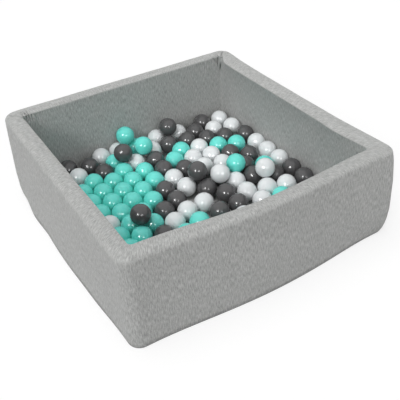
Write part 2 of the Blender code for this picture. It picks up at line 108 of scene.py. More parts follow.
# How the foam has settled in the cover: its feet and corners, then its leaning tops, then its inner edges
SIDE_REACH = 0.16
CORNER_REACH = 0.30
CORNER_SOFTNESS = 0.004
CORNER_SOFT_REACH = 0.07
FRONT_RIGHT_SPLAY = 0.015
BACK_RIGHT_LEAN = 0.006
BACK_LEFT_LEAN = 0.007
BACK_LEFT_RISE = 0.004
BACK_LEFT_TWIST = 0.004
FRONT_RIGHT_DIP = 0.012
DIP_REACH = 0.40
DIP_FADE = 0.22
BACK_RIGHT_ROLL = 0.018
BACK_RIGHT_DROP = 0.005
ROLL_REACH = 0.05
ROLL_FADE = 0.16
EDGE_POWER = 5

# The crease across the top at each rear corner, which has a steep side and a slope
CREASE_DEPTH = 0.009
CREASE_WIDTH = 0.0028
CREASE_SLOPE = 0.0046
CREASE_BEND = 0.007
CREASE_ZONE = 0.012
CREASE_START_SHARE = -0.6
CREASE_END_SHARE = 0.96
CREASE_FADE_SHARE = 0.4

# The shape of each gather, and where on the wall's outline the gathers start and are in full
PLEAT_WIDTH = 0.0024
PLEAT_LEAN = 0.05
PLEAT_END = 0.012
PLEAT_DEPTH = 0.013
GATHER_START_SHARE = 0.5
GATHER_FULL_SHARE = 0.8

# How far the foam stays inside the cover, and how it is rounded off under the gathers and creases
FOAM_CLEAR = 0.0048
FOAM_TUCK = 0.011
FOAM_TUCK_REACH = 0.12

# How the floor's jersey dips. A layer picks a pattern of the noise.
FLOOR_DIP = 0.0004
FLOOR_PUCKER = 0.0008
FLOOR_PUCKER_REACH = 0.03
FLOOR_PUCKERS_PER_METRE = 70
FLOOR_PUCKER_LAYER = 0.5
FLOOR_WAVE = 0.0006
FLOOR_WAVES_PER_METRE = 9
FLOOR_WAVE_LAYER = 2.5

# The knit's stitches, and the marks of its melange in features per metre across and up the cloth
KNIT_COLUMN = 0.0016
KNIT_ROW = 0.0012
KNIT_SLANT = 1.3
STREAKS = (340, 62, 1)
FLECKS = (1050, 300, 1)
CLOUDS = (26, 10, 1)
DRIFTS_PER_METRE = 26.0
FIBRE_DRIFT = 0.005

# The weaves' pitches, and the other finishes' marks in features per metre
BASE_WEAVE_PITCH = 0.0014
BASE_WEAR = (60, 60, 1)
TAPE_RIB_PITCH = 0.0016
TAPE_PICK_PITCH = 0.0009
FOAM_PORES_PER_METRE = 420.0
FOAM_CLOUDS = (30, 30, 30)
COIL_DRIFT = (200, 200, 200)
ZINC_RUB = (300, 300, 2600)
BALL_DRIFT = (45, 45, 45)
BALL_SCUFF = (900, 900, 300)

# How far the right and the left corner stand out, by share of the height
RIGHT_CORNER_SWELL = (
    (0.0, -0.004), (0.06, 0.006), (0.16, 0.014), (0.30, 0.019), (0.62, 0.020), (0.86, 0.015), (1.0, 0.008),
)
LEFT_CORNER_SWELL = ((0.0, 0.005), (0.10, 0.009), (0.3, 0.0105), (0.7, 0.0055), (1.0, 0.002))

# Where the front left wall's foot stands out: room to the left corner, reach to each side, and how far
LEFT_FOOT_SWELLS = ((0.20, 0.14, 0.010), (0.72, 0.16, 0.003))

# The gathers on the inner face of the back left wall: room to the corner, share of the full depth, top and
# bottom, which lie below the top of the wall. First those at the back corner, then those at the left one.
BACK_PLEATS = (
    (0.0035, 1.00, 0.026, 0.066), (0.0120, 1.00, -0.008, 0.048), (0.0205, 0.95, -0.008, 0.034),
    (0.0290, 0.80, -0.006, 0.026), (0.0380, 0.60, -0.004, 0.026), (0.0520, 0.18, 0.004, 0.050),
    (0.0620, 0.20, 0.006, 0.045), (0.0720, 0.14, 0.010, 0.060),
)
LEFT_PLEATS = (
    (0.0050, 0.90, -0.008, 0.034), (0.0135, 0.95, -0.010, 0.032), (0.0225, 0.75, -0.008, 0.034),
    (0.0320, 0.40, -0.004, 0.036), (0.0460, 0.20, 0.006, 0.060),
)

# Each wall's outward direction and the direction that runs along it, in order round the pit
SIDES = {
    "front_right": (Vector((0, -1, 0)), Vector((1, 0, 0))),
    "back_right": (Vector((1, 0, 0)), Vector((0, 1, 0))),
    "back_left": (Vector((0, 1, 0)), Vector((-1, 0, 0))),
    "front_left": (Vector((-1, 0, 0)), Vector((0, -1, 0))),
}
ZIP_SIDE = "back_left"
GATHERED_SIDE = "back_left"

# The balls of each string: a colour letter (w white, g grey, m mint) and shares of the inner width
BALL_STRING_SHARES = (
    (("m", .043, .945), ("g", .043, .860), ("w", .050, .772), ("m", .043, .685), ("m", .043, .600),
     ("m", .043, .515), ("w", .043, .430), ("m", .043, .345), ("g", .043, .257), ("m", .043, .170),
     ("m", .043, .085)),
    (("m", .115, .739), ("m", .113, .645), ("m", .115, .557), ("w", .117, .470), ("m", .118, .380),
     ("m", .118, .295), ("g", .118, .210), ("w", .118, .125), ("m", .118, .043)),
    (("g", .132, .957), ("w", .138, .872), ("m", .183, .783), ("m", .180, .692), ("m", .182, .600),
     ("m", .183, .513), ("m", .184, .428), ("m", .187, .338), ("w", .190, .250), ("g", .190, .165),
     ("m", .190, .080)),
    (("g", .216, .925), ("g", .258, .834), ("m", .252, .740), ("m", .254, .645), ("m", .257, .556),
     ("m", .260, .470), ("m", .268, .380), ("g", .268, .285), ("w", .268, .200), ("m", .270, .115)),
    (("w", .300, .957), ("m", .323, .875), ("m", .322, .785), ("m", .326, .697), ("m", .330, .610),
     ("m", .336, .523), ("g", .342, .430), ("w", .338, .340), ("m", .340, .252), ("g", .345, .165),
     ("w", .345, .075)),
    (("w", .410, .818), ("m", .405, .732), ("m", .408, .645), ("g", .412, .555), ("g", .422, .468),
     ("w", .415, .370), ("m", .423, .280), ("w", .420, .195), ("g", .420, .110)),
    (("w", .385, .957), ("m", .470, .945), ("w", .540, .880), ("g", .490, .797), ("g", .483, .705),
     ("w", .487, .610), ("w", .497, .518), ("g", .570, .463), ("g", .620, .388), ("g", .616, .298)),
    (("w", .503, .388), ("g", .525, .300), ("m", .500, .215), ("w", .500, .130), ("g", .500, .045),
     ("m", .585, .045), ("g", .585, .130), ("w", .585, .220)),
    (("w", .588, .957), ("g", .598, .870), ("m", .625, .790), ("m", .560, .738), ("g", .560, .645),
     ("g", .575, .555), ("w", .652, .615), ("w", .642, .702)),
    (("w", .700, .938), ("g", .698, .852), ("w", .712, .765), ("w", .724, .675), ("w", .725, .590),
     ("g", .667, .527), ("w", .700, .435), ("w", .690, .345), ("w", .715, .262), ("g", .700, .175),
     ("m", .700, .090)),
    (("g", .769, .900), ("g", .786, .813), ("m", .795, .728), ("m", .872, .688), ("g", .866, .778),
     ("w", .858, .868), ("g", .845, .957)),
    (("g", .803, .640), ("g", .870, .583), ("g", .806, .515), ("g", .783, .432)),
    (("m", .870, .475), ("g", .866, .385), ("w", .858, .299), ("w", .782, .325), ("m", .800, .235),
     ("w", .800, .150), ("g", .800, .065), ("w", .875, .045), ("m", .880, .130), ("g", .880, .215)),
)
BALL_COLOURS = {"w": "white", "g": "grey", "m": "mint"}

# Each ball's plastic, with its darker and its lighter shade
BALL_PLASTICS = {
    "w": ("white_plastic", (0.72, 0.75, 0.76, 1), (0.80, 0.82, 0.83, 1)),
    "g": ("dark_grey_plastic", (0.074, 0.073, 0.075, 1), (0.090, 0.088, 0.090, 1)),
    "m": ("mint_plastic", (0.125, 0.70, 0.61, 1), (0.165, 0.79, 0.71, 1)),
}

# A ball's mesh: its moulding seam and the marks where it was closed. The seed turns the balls.
BALL_SEED = 7
BALL_SEGMENTS = 40
BALL_RINGS = 26
SEAM_PROUD = 0.00012
SEAM_HALF = 0.0005
GATE_RADIUS = 0.0024
GATE_SINK = 0.0002

# The zip
TAPE_THICKNESS = 0.0006
TAPE_STEP = 0.010
TAPE_ROW = 0.0011
BEAD_RISE = 0.0003
BEAD_WIDTH = 0.0012
COIL_PITCH = 0.0020
COIL_WIRE = 0.00042
COIL_STRAND_HEIGHT = 0.0036
COIL_TURN_POINTS = 8
STITCH_PITCH = 0.0034
STITCH_LENGTH = 0.0024
STITCH_RADIUS = 0.00026
STITCH_RISE = 0.0040
STITCH_TILT = 0.08
STITCH_PROUD_SHARE = 0.2
STITCH_SEGMENTS = 8
STITCH_RINGS = 6
METAL_BEVEL = 0.0003
METAL_BEVEL_STEPS = 3
METAL_BEVEL_ANGLE = math.radians(35)
METAL_WELD = 0.00001

# The camera, fitted to the photograph's 400 by 400 frame
CAMERA_AZIMUTH = math.radians(-29.88)
CAMERA_ELEVATION = math.radians(36.5)
CAMERA_ROLL = math.radians(-3.06)
CAMERA_DISTANCE = 1.9295
CAMERA_LENS = 56.66
CAMERA_SENSOR = 36.0
CAMERA_TARGET = Vector((-0.0564, -0.1666, 0.15))

# The lamps: the side lamps' directions as shares of the camera's right, up and back directions, the top
# lamp's direction in the world, then how widely and how brightly they shine
LEFT_SIDE_SHARES = (-0.39, 0.0, 0.92)
RIGHT_SIDE_SHARES = (0.33, -0.10, 0.93)
TOP_DIRECTION = Vector((-0.20, 0.10, 1.0))
SIDE_LAMP_SPREAD = math.radians(18)
TOP_LAMP_SPREAD = math.radians(50)
SPARKLE_SPREAD = math.radians(10)
LEFT_LAMP_LEVEL = 0.30
RIGHT_LAMP_LEVEL = 0.12
TOP_LAMP_LEVEL = 0.47
LEFT_SPARKLE_LEVEL = 0.65
RIGHT_SPARKLE_LEVEL = 0.30
LAMP_DISTANCE = 3.0

# The even world and the white floor
AMBIENT_LEVEL = 0.35
FLOOR_SIZE = 14.0
FLOOR_SQUARES = 8
FLOOR_SEEN_GREY = 1.0
FLOOR_BOUNCE_GREY = 0.50
FLOOR_SHADE_SHARE = 0.30


class Socket:
    """An output in a node tree. Arithmetic on it adds Math nodes."""

    def __init__(self, paint, output):
        self.paint = paint
        self.output = output

    def math(self, operation, first, second):
        return self.paint.node("Math", {"operation": operation}, {0: first, 1: second})

    def __add__(self, other):
        return self.math("ADD", self, other)

    def __sub__(self, other):
        return self.math("SUBTRACT", self, other)

    def __rsub__(self, other):
        return self.math("SUBTRACT", other, self)

    def __mul__(self, other):
        return self.math("MULTIPLY", self, other)

    def __pow__(self, other):
        return self.math("POWER", self, other)

    __radd__ = __add__
    __rmul__ = __mul__


class Paint:
    """The node tree of a material or of the world."""

    def __init__(self, owner):
        owner.use_nodes = True
        self.tree = owner.node_tree

    def node(self, kind, settings, sockets=None, output=0):
        """Add a node: its settings first, then its sockets' values or links. Gives one of its outputs."""
        made = self.tree.nodes.new("ShaderNode" + kind)
        for name, value in settings.items():
            setattr(made, name, value)
        for name, value in (sockets or {}).items():
            self.feed(made.inputs[name], value)
        return Socket(self, made.outputs[output]) if made.outputs else None

    def feed(self, socket, value):
        if isinstance(value, Socket):
            self.tree.links.new(value.output, socket)
        else:
            socket.default_value = value

    def noise(self, place, scales, detail=2.0, roughness=0.5):
        """Noise over a place whose axes are stretched by scales, in features per metre."""
        stretched = self.node("VectorMath", {"operation": "MULTIPLY"}, {0: place, 1: scales})
        return self.node("TexNoise", {}, {"Vector": stretched, "Scale": 1.0, "Detail": detail,
                                          "Roughness": roughness})

    def wave(self, place, axis, pitch):
        """A smooth ripple along one axis of a place, from 0 to 1."""
        parts = self.node("SeparateXYZ", {}, {0: place}, axis)
        return self.node("Math", {"operation": "SINE"}, {0: parts * (2 * math.pi / pitch)}) * 0.5 + 0.5

    def stitches(self, cloth):
        """The face of a knit: upright columns of small V-shaped stitches, from 0 to 1."""
        across = self.node("SeparateXYZ", {}, {0: cloth}, 0) * (1 / KNIT_COLUMN)
        up = self.node("SeparateXYZ", {}, {0: cloth}, 1) * (1 / KNIT_ROW)
        column = self.node("Math", {"operation": "FRACT"}, {0: across})
        slant = self.node("Math", {"operation": "ABSOLUTE"}, {0: column - 0.5})
        leg = self.node("Math", {"operation": "SINE"}, {0: (up + slant * KNIT_SLANT) * (2 * math.pi)})
        return (leg * 0.5 + 0.5) * (1 - (slant * 2) ** 4.0)

    def limited(self, value):
        return self.node("Clamp", {}, {"Value": value})

    def blend(self, share, low, high):
        """A colour between two colours."""
        return self.node("Mix", {"data_type": "RGBA"}, {0: share, 6: low, 7: high}, 2)

    def bump(self, height, distance, strength):
        return self.node("Bump", {}, {"Height": height, "Distance": distance, "Strength": strength})


def new_finish(name, **sockets):
    """A material with one Principled surface. Gives the material and its paint."""
    material = bpy.data.materials.new(name)
    paint = Paint(material)
    surface = paint.tree.nodes["Principled BSDF"]
    for key, value in sockets.items():
        surface.inputs[key.replace("_", " ")].default_value = value
    return material, paint


def cover_surface(paint, **sockets):
    """Feed the Principled surface of a paint."""
    surface = paint.tree.nodes["Principled BSDF"]
    for key, value in sockets.items():
        paint.feed(surface.inputs[key.replace("_", " ")], value)


def grey(level, tint=(1.0, 1.0, 1.0)):
    return (level * tint[0], level * tint[1], level * tint[2], 1.0)


def jersey_finish():
    """Melange single jersey: light and dark fibres in short upright streaks, over a fine knit."""
    material, paint = new_finish("melange_jersey", Roughness=0.92, Sheen_Weight=0.25, Sheen_Roughness=0.6,
                                 Specular_IOR_Level=0.2)
    flat = paint.node("UVMap", {"uv_map": "cloth"})
    drift = paint.node("TexNoise", {}, {"Vector": flat, "Scale": DRIFTS_PER_METRE, "Detail": 1.0}, 1)
    cloth = paint.node("VectorMath", {"operation": "MULTIPLY_ADD"},
                       {0: drift, 1: (FIBRE_DRIFT, 0, 0), 2: flat})
    streak = paint.noise(cloth, STREAKS)
    fleck = paint.noise(cloth, FLECKS)
    cloud = paint.noise(cloth, CLOUDS)
    knit = paint.stitches(cloth)
    mask = paint.limited(0.5 + (streak - 0.5) * 2.3 + (fleck - 0.5) * 1.3 + (cloud - 0.5) * 0.25
                         + (knit - 0.5) * 0.22)
    dark_fibre = grey(0.285, (1.0, 1.015, 0.99))
    light_fibre = grey(0.560, (1.0, 1.01, 0.99))
    cover_surface(
        paint,
        Base_Color=paint.blend(mask, dark_fibre, light_fibre),
        Normal=paint.bump(streak * 0.3 + fleck * 0.2 + knit * 0.5, 0.0007, 0.5),
    )
    return material


def foam_finish():
    """Open cell foam: pale, with small round pores whose hollows are darkened with painted shade."""
    material, paint = new_finish("pale_foam", Roughness=0.95, Specular_IOR_Level=0.15)
    place = paint.node("TexCoord", {}, {}, 3)
    pores = paint.node("TexVoronoi", {}, {"Vector": place, "Scale": FOAM_PORES_PER_METRE})
    cloud = paint.noise(place, FOAM_CLOUDS)
    # Painted shade: the colour darkens towards each pore's middle, where the bump is lowest. The clouds add
    # random tone.
    mask = paint.limited(pores * 1.2 + cloud * 0.3)
    cover_surface(
        paint,
        Base_Color=paint.blend(mask, (0.58, 0.55, 0.46, 1), (0.86, 0.84, 0.76, 1)),
        Normal=paint.bump(pores, 0.0012, 0.7),
    )
    return material


def base_cloth_finish():
    """Plain woven bottom cloth, dark grey."""
    material, paint = new_finish("woven_bottom_cloth", Roughness=0.9, Specular_IOR_Level=0.2)
    cloth = paint.node("UVMap", {"uv_map": "cloth"})
    weave = paint.wave(cloth, 0, BASE_WEAVE_PITCH) * paint.wave(cloth, 1, BASE_WEAVE_PITCH)
    wear = paint.noise(cloth, BASE_WEAR, 3.0)
    cover_surface(
        paint,
        Base_Color=paint.blend(paint.limited(weave * 0.7 + wear * 0.4), grey(0.14), grey(0.27)),
        Normal=paint.bump(weave, 0.0004, 0.8),
    )
    return material


def tape_finish():
    """Woven zip tape with its lengthwise ribs."""
    material, paint = new_finish("woven_zip_tape", Roughness=0.8, Sheen_Weight=0.15)
    place = paint.node("TexCoord", {}, {}, 3)
    ribs = paint.wave(place, 2, TAPE_RIB_PITCH)
    picks = paint.wave(place, 0, TAPE_PICK_PITCH)
    weave = ribs * 0.7 + picks * 0.3
    cover_surface(
        paint,
        Base_Color=paint.blend(paint.limited(weave), grey(0.22), grey(0.37)),
        Normal=paint.bump(weave, 0.0003, 0.9),
    )
    return material


def coil_finish():
    """Smooth grey nylon."""
    material, paint = new_finish("nylon_zip_coil")
    place = paint.node("TexCoord", {}, {}, 3)
    drift = paint.noise(place, COIL_DRIFT)
    cover_surface(paint, Base_Color=paint.blend(drift, grey(0.20), grey(0.29)), Roughness=drift * 0.2 + 0.3)
    return material


def zinc_finish():
    """Satin zinc with fine rubbed lines."""
    material, paint = new_finish("satin_zinc", Metallic=1.0)
    place = paint.node("TexCoord", {}, {}, 3)
    rub = paint.noise(place, ZINC_RUB, 3.0)
    cover_surface(
        paint,
        Base_Color=paint.blend(rub, grey(0.50), grey(0.68, (1.0, 1.0, 1.02))),
        Roughness=rub * 0.25 + 0.22,
        Normal=paint.bump(rub, 0.0001, 0.5),
    )
    return material


def ball_finish(name, shade, light):
    """Glossy blow-moulded plastic, a little uneven, with faint scuffs in the gloss."""
    material, paint = new_finish(name, Specular_IOR_Level=0.5)
    place = paint.node("TexCoord", {}, {}, 3)
    drift = paint.noise(place, BALL_DRIFT)
    scuff = paint.noise(place, BALL_SCUFF, 4.0, 0.7)
    cover_surface(
        paint,
        Base_Color=paint.blend(drift, shade, light),
        Roughness=0.17 + scuff ** 3.0 * 0.3,
        Normal=paint.bump(drift + scuff * 0.03, 0.0012, 0.12),
    )
    return material


def bow_at(side, along, across, z):
    """How far a point of a wall stands out from the straight side."""
    reach = min(abs(along) / INNER_HALF, 1.0)
    swell = (1 - reach * reach) ** 2
    if side == "front_right":
        return FRONT_RIGHT_BOW * swell
    if side == "front_left":
        return FRONT_LEFT_FOOT_BOW * swell * (1 - z / HEIGHT) * (1 - across)
    return 0.0


def eased(value):
    """A smooth step from 0 to 1."""
    value = max(0.0, min(1.0, value))
    return value * value * (3 - 2 * value)


def table_value(table, share):
    """The value of a table of (share, value) rows at a share between them."""
    return float(np.interp(share, [row[0] for row in table], [row[1] for row in table]))


def beside(distance):
    """1 at a wall's outer face, falling to 0 inside it, by the distance from the pit's middle."""
    return eased((distance - OUTER_HALF + SIDE_REACH) / SIDE_REACH)


def outer_settling(place, share):
    """How far the outer face has moved at a share of the height."""
    move = Vector((0, -FRONT_RIGHT_SPLAY * (1 - share) * beside(-place.y), 0))
    for room, reach, swell in LEFT_FOOT_SWELLS:
        near = eased(1 - abs(OUTER_HALF - place.y - room) / reach)
        move.x -= swell * near * beside(-place.x) * (1 - share) ** 3
    middle = 1 - min(abs(place.y) / OUTER_HALF, 1.0) ** 2
    move.x -= BACK_RIGHT_LEAN * share ** 2 * middle * beside(place.x)
    right_corner = (place.xy - Vector((OUTER_HALF, -OUTER_HALF))).length
    left_corner = (place.xy - Vector((-OUTER_HALF, OUTER_HALF))).length
    back_corner = (place.xy - Vector((OUTER_HALF, OUTER_HALF))).length
    diagonal = math.cos(MITRE_ANGLE)
    swell = table_value(RIGHT_CORNER_SWELL, share) * eased(1 - right_corner / CORNER_REACH) * diagonal
    move += Vector((swell, -swell, 0))
    past_zip = eased((-place.x - SLOT_HALF) / (INNER_HALF - SLOT_HALF))
    move.x -= table_value(LEFT_CORNER_SWELL, share) * eased(1 - left_corner / CORNER_REACH) * past_zip
    soft = CORNER_SOFTNESS * diagonal
    move += Vector((soft, -soft, 0)) * eased(1 - left_corner / CORNER_SOFT_REACH)
    move += Vector((-soft, -soft, 0)) * eased(1 - back_corner / CORNER_SOFT_REACH)
    return move


def top_settling(place, share, across):
    """How far the walls' tops lean, and how far their inner edges dip and roll in."""
    rear = beside(place.y)
    move = Vector((0, BACK_LEFT_LEAN * share ** 2, BACK_LEFT_RISE * share ** 4)) * rear
    move.z += BACK_LEFT_TWIST * place.x / OUTER_HALF * rear * share ** 4 * across
    edge = share ** EDGE_POWER * across
    dip = eased((place.x + INNER_HALF) / DIP_REACH) * eased(1 - (place.y + INNER_HALF) / DIP_FADE)
    move.z -= FRONT_RIGHT_DIP * dip * edge
    inner_right = eased((place.x - INNER_HALF + ROLL_REACH) / ROLL_REACH)
    back_end = eased((INNER_HALF - place.y) / ROLL_REACH)
    right_end = eased((place.y + INNER_HALF) / ROLL_FADE)
    return move - Vector((BACK_RIGHT_ROLL, 0, BACK_RIGHT_DROP)) * inner_right * back_end * right_end * edge


def settle(place, across):
    """How far a point of the cover has moved from the straight wall, as the foam settles in it."""
    share = place.z / HEIGHT
    return outer_settling(place, share) * (1 - across) + top_settling(place, share, across)


def spread(start, end, step):
    """Even values from start to end, both included, about a step apart."""
    return [float(value) for value in np.linspace(start, end, max(2, round(abs(end - start) / step) + 1))]


def wall_cuts(inset, step, alongs=()):
    """Cuts across one wall: (along, out) of its outer face, then (along, out) of its inner face."""
    arc_centre = OUTER_HALF - CORNER_RADIUS
    radius = CORNER_RADIUS - inset
    inner = INNER_HALF + inset
    inner_radius = INNER_CORNER_ROUND + inset
    inner_centre = inner - inner_radius
    cuts = []
    for k in range(CORNER_STEPS):
        angle = MITRE_ANGLE * (1 - k / CORNER_STEPS)
        outer_along = arc_centre + radius * math.sin(angle)
        outer_out = arc_centre + radius * math.cos(angle)
        inner_along = inner_centre + inner_radius * math.sin(angle)
        inner_out = inner_centre + inner_radius * math.cos(angle)
        for sign in (-1, 1):
            cuts.append(((sign * outer_along, outer_out), (sign * inner_along, inner_out)))
    scale = inner_centre / arc_centre
    for along in set(spread(-arc_centre, arc_centre, step)) | set(alongs):
        cuts.append(((along, OUTER_HALF - inset), (along * scale, inner)))
    return sorted(cuts)


def wall_point(side, cut, across, z):
    """A point of a wall, from its cut and its share of the way from the outer to the inner face."""
    outward, onward = SIDES[side]
    (outer_along, outer_out), (inner_along, inner_out) = cut
    along = outer_along + (inner_along - outer_along) * across
    out = outer_out + (inner_out - outer_out) * across
    out += bow_at(side, along, across, z)
    place = onward * along + outward * out + Vector((0, 0, z))
    return place + settle(place, across)


def wall_profile(inset, step, foot=FOOT, fine=None):
    """The wall's outline from its outer foot over the top to its inner foot: (share across, height)."""
    width = WALL - 2 * inset
    edge_top = HEIGHT - CROWN_RISE
    outer_round = OUTER_EDGE_ROUND - inset
    inner_round = INNER_EDGE_ROUND - inset
    points = [(0.0, z) for z in spread(foot, edge_top - OUTER_EDGE_ROUND, step)[:-1]]
    for k in range(EDGE_STEPS + 1):
        angle = math.pi / 2 * k / EDGE_STEPS
        points.append((outer_round * (1 - math.cos(angle)) / width,
                       edge_top - OUTER_EDGE_ROUND + outer_round * math.sin(angle)))
    start, end = outer_round / width, 1 - inner_round / width
    for k in range(1, CROWN_STEPS):
        share = k / CROWN_STEPS
        crown = CROWN_RISE * math.sin(math.pi * share)
        points.append((start + (end - start) * share, edge_top - inset + crown))
    for k in range(EDGE_STEPS, -1, -1):
        angle = math.pi / 2 * k / EDGE_STEPS
        points.append((1 - inner_round * (1 - math.cos(angle)) / width,
                       edge_top - INNER_EDGE_ROUND + inner_round * math.sin(angle)))
    gathered = spread(edge_top - INNER_EDGE_ROUND, HEIGHT - PLEAT_ZONE_DEPTH, fine or step)
    return points + [(1.0, z) for z in gathered[1:] + spread(gathered[-1], FOOT, step)[1:]]


def finish_piece(item, material, body, slot, *nodes):
    """Dress a piece, let it ride on its body and hide the nodes that it stands for. Its slot is not used."""
    item.data.materials.append(material)
    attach(item, body)
    if nodes:
        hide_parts(*nodes)
    return item


def linked(name, data):
    item = bpy.data.objects.new(name, data)
    bpy.context.scene.collection.objects.link(item)
    return item


def grid_piece(name, grid, closed, widths, heights):
    """A smooth mesh over rows of points, joined up to a ring if closed, with cloth coordinates in metres."""
    rows, columns = len(grid), len(grid[0])
    mesh = bpy.data.meshes.new(name)
    faces = []
    marks = []
    for i in range(rows if closed else rows - 1):
        for j in range(columns - 1):
            n = (i + 1) % rows
            faces.append((i * columns + j, n * columns + j, n * columns + j + 1, i * columns + j + 1))
            marks += [(widths[i], heights[j]), (widths[i + 1], heights[j]),
                      (widths[i + 1], heights[j + 1]), (widths[i], heights[j + 1])]
    mesh.from_pydata([tuple(point) for row in grid for point in row], [], faces)
    layer = mesh.uv_layers.new(name="cloth")
    layer.data.foreach_set("uv", [value for mark in marks for value in mark])
    mesh.shade_smooth()
    return linked(name, mesh)


def thicken(item, thickness):
    """Give a skin its thickness, inwards from its face."""
    solid = item.modifiers.new("thickness", "SOLIDIFY")
    solid.thickness = thickness
    solid.offset = -1.0
    return item


def corner_crease(place, corner):
    """How far the cover is drawn in where its two top strips meet at a corner: steep on one side."""
    across = Vector((-corner.y, corner.x)).normalized()
    inner = corner * INNER_HALF
    outer = corner * (OUTER_HALF - CORNER_RADIUS * (1 - math.cos(MITRE_ANGLE)))
    run = (place.xy - inner).dot(outer - inner) / (outer - inner).length_squared
    aside = (place.xy - inner).dot(across) - CREASE_BEND * max(run, 0.0) * (1 - run)
    width = CREASE_SLOPE if aside > 0 else CREASE_WIDTH
    fade = eased((CREASE_END_SHARE - run) / CREASE_FADE_SHARE)
    fade *= eased((run - CREASE_START_SHARE) / CREASE_FADE_SHARE)
    return -CREASE_DEPTH * fade * math.exp(-(aside / width) ** 2)


def gathers(along, z):
    """How far the gathers next to the two inner corners of the back left wall are drawn in."""
    room = INNER_HALF - abs(along)
    below = HEIGHT - z
    drawn = 0.0
    for place, share, top, bottom in (LEFT_PLEATS if along > 0 else BACK_PLEATS):
        length = eased((below - top) / PLEAT_END) * eased((bottom - below) / PLEAT_END)
        aside = room - place - PLEAT_LEAN * (below - top)
        drawn -= PLEAT_DEPTH * share * length * math.exp(-(aside / PLEAT_WIDTH) ** 2)
    return drawn


def lie_of_cloth(side, along, across, z, place):
    """How far the jersey stands out from its smooth shape."""
    out = noise.noise(place * WAVES_PER_METRE) * WAVE_DEPTH
    out += noise.noise(place * RIPPLES_PER_METRE) * RIPPLE_DEPTH
    if across >= 1.0:
        out = -abs(out)
    if side == GATHERED_SIDE and across > GATHER_START_SHARE:
        fullness = (across - GATHER_START_SHARE) / (GATHER_FULL_SHARE - GATHER_START_SHARE)
        out += gathers(along, z) * eased(fullness)
    if z > HEIGHT - CREASE_ZONE:
        out += corner_crease(place, Vector((1, 1))) + corner_crease(place, Vector((-1, 1)))
    return out


def make_cover(material):
    """The jersey cover, one skin over all four walls, open underneath, with the slot for the zip."""
    profile = wall_profile(0.0, WALL_RISE, FOOT, PLEAT_RISE)
    slot_profile = wall_profile(0.0, WALL_RISE, SLOT_TOP, PLEAT_RISE)
    arc_centre = OUTER_HALF - CORNER_RADIUS
    fine = spread(arc_centre - PLEAT_ZONE, arc_centre, PLEAT_STEP)
    rows, rings = [], []
    for side in SIDES:
        alongs = fine + [-along for along in fine] if side == GATHERED_SIDE else []
        if side == ZIP_SIDE:
            alongs += [sign * (SLOT_HALF + step) for sign in (-1, 1) for step in (0, SLOT_STEP)]
        for cut in wall_cuts(0.0, WALL_STEP, alongs)[:-1]:
            in_slot = side == ZIP_SIDE and abs(cut[0][0]) <= SLOT_HALF + GAP
            outline = resample(slot_profile, profile) if in_slot else profile
            rings.append((side, cut, outline))
            rows.append([wall_point(side, cut, across, z) for across, z in outline])
    grid = np.array([[tuple(point) for point in row] for row in rows])
    normals = np.cross(np.roll(grid, -1, 0) - np.roll(grid, 1, 0), np.gradient(grid, axis=1))
    normals /= np.linalg.norm(normals, axis=2, keepdims=True)
    for i, (side, cut, outline) in enumerate(rings):
        for j, (across, z) in enumerate(outline):
            along = cut[0][0] + (cut[1][0] - cut[0][0]) * across
            grid[i, j] += normals[i, j] * lie_of_cloth(side, along, across, z, rows[i][j])
    mid = len(profile) // 3
    turns = np.linalg.norm(np.roll(grid, -1, 0)[:, mid] - grid[:, mid], axis=1)
    widths = [0.0] + list(np.cumsum(turns))
    heights = [0.0] + list(np.cumsum(np.linalg.norm(np.diff(grid[0], axis=0), axis=1)))
    item = thicken(grid_piece("jersey_cover", grid, True, widths, heights), JERSEY)
    finish_piece(item, material, "pit", "jersey", "wall_cover")


def resample(short, full):
    """The slot's outline with as many points on its outer face as the full one has."""
    tail = len(full) - next(k for k, point in enumerate(full) if point[0] > 0)
    heights = np.linspace(short[0][1], short[-tail - 1][1], len(full) - tail)
    return [(0.0, float(z)) for z in heights] + short[-tail:]


def plan_outline(inset, across):
    """The plan outline of all four walls' outer or inner faces at the floor, counterclockwise."""
    points = []
    for side in SIDES:
        for cut in wall_cuts(inset, WALL_STEP)[:-1]:
            point = wall_point(side, cut, across, 0).xy
            if not points or (point - points[-1]).length > GAP:
                points.append(point)
    return points


def plate(name, outline, low, high, rings, sink=None):
    """A flat pad or sheet with soft edges: its top can sink, and its underside is flat."""
    edge = min((high - low) / 2, SHEET_EDGE)
    reach = max(point.length for point in outline)
    levels = [(1 - edge / reach, low), (1.0, low + edge), (1.0, high - edge), (1 - edge / reach, high)]
    levels += [((1 - edge / reach) * (1 - k / rings), high) for k in range(1, rings)]
    bm = bmesh.new()
    layer = bm.loops.layers.uv.new("cloth")
    under = bm.verts.new((0, 0, low))
    rows = []
    for scale, z in levels:
        row = []
        for point in outline:
            place = Vector((point.x * scale, point.y * scale, z))
            if sink and z == high:
                place.z -= sink(place)
            row.append(bm.verts.new(place))
        rows.append(row)
    top = bm.verts.new((0, 0, high - (sink(Vector((0, 0, high))) if sink else 0)))
    count = len(outline)
    for k in range(count):
        n = (k + 1) % count
        bm.faces.new((under, rows[0][n], rows[0][k]))
        bm.faces.new((top, rows[-1][k], rows[-1][n]))
        for row, following in zip(rows, rows[1:]):
            bm.faces.new((row[k], row[n], following[n], following[k]))
    for face in bm.faces:
        for loop in face.loops:
            loop[layer].uv = loop.vert.co.xy
    mesh = bpy.data.meshes.new(name)
    bm.to_mesh(mesh)
    bm.free()
    mesh.shade_smooth()
    return linked(name, mesh)


def outline_area(outline):
    return abs(sum(a.cross(b) for a, b in zip(outline, outline[1:] + outline[:1]))) / 2


def declare_sheet(outline):
    """Work out the area of a flat cut sheet's outline. The area is not kept."""
    outline_area(outline)


def floor_noise(place, per_metre, layer):
    return abs(noise.noise(Vector((place.x * per_metre, place.y * per_metre, layer))))


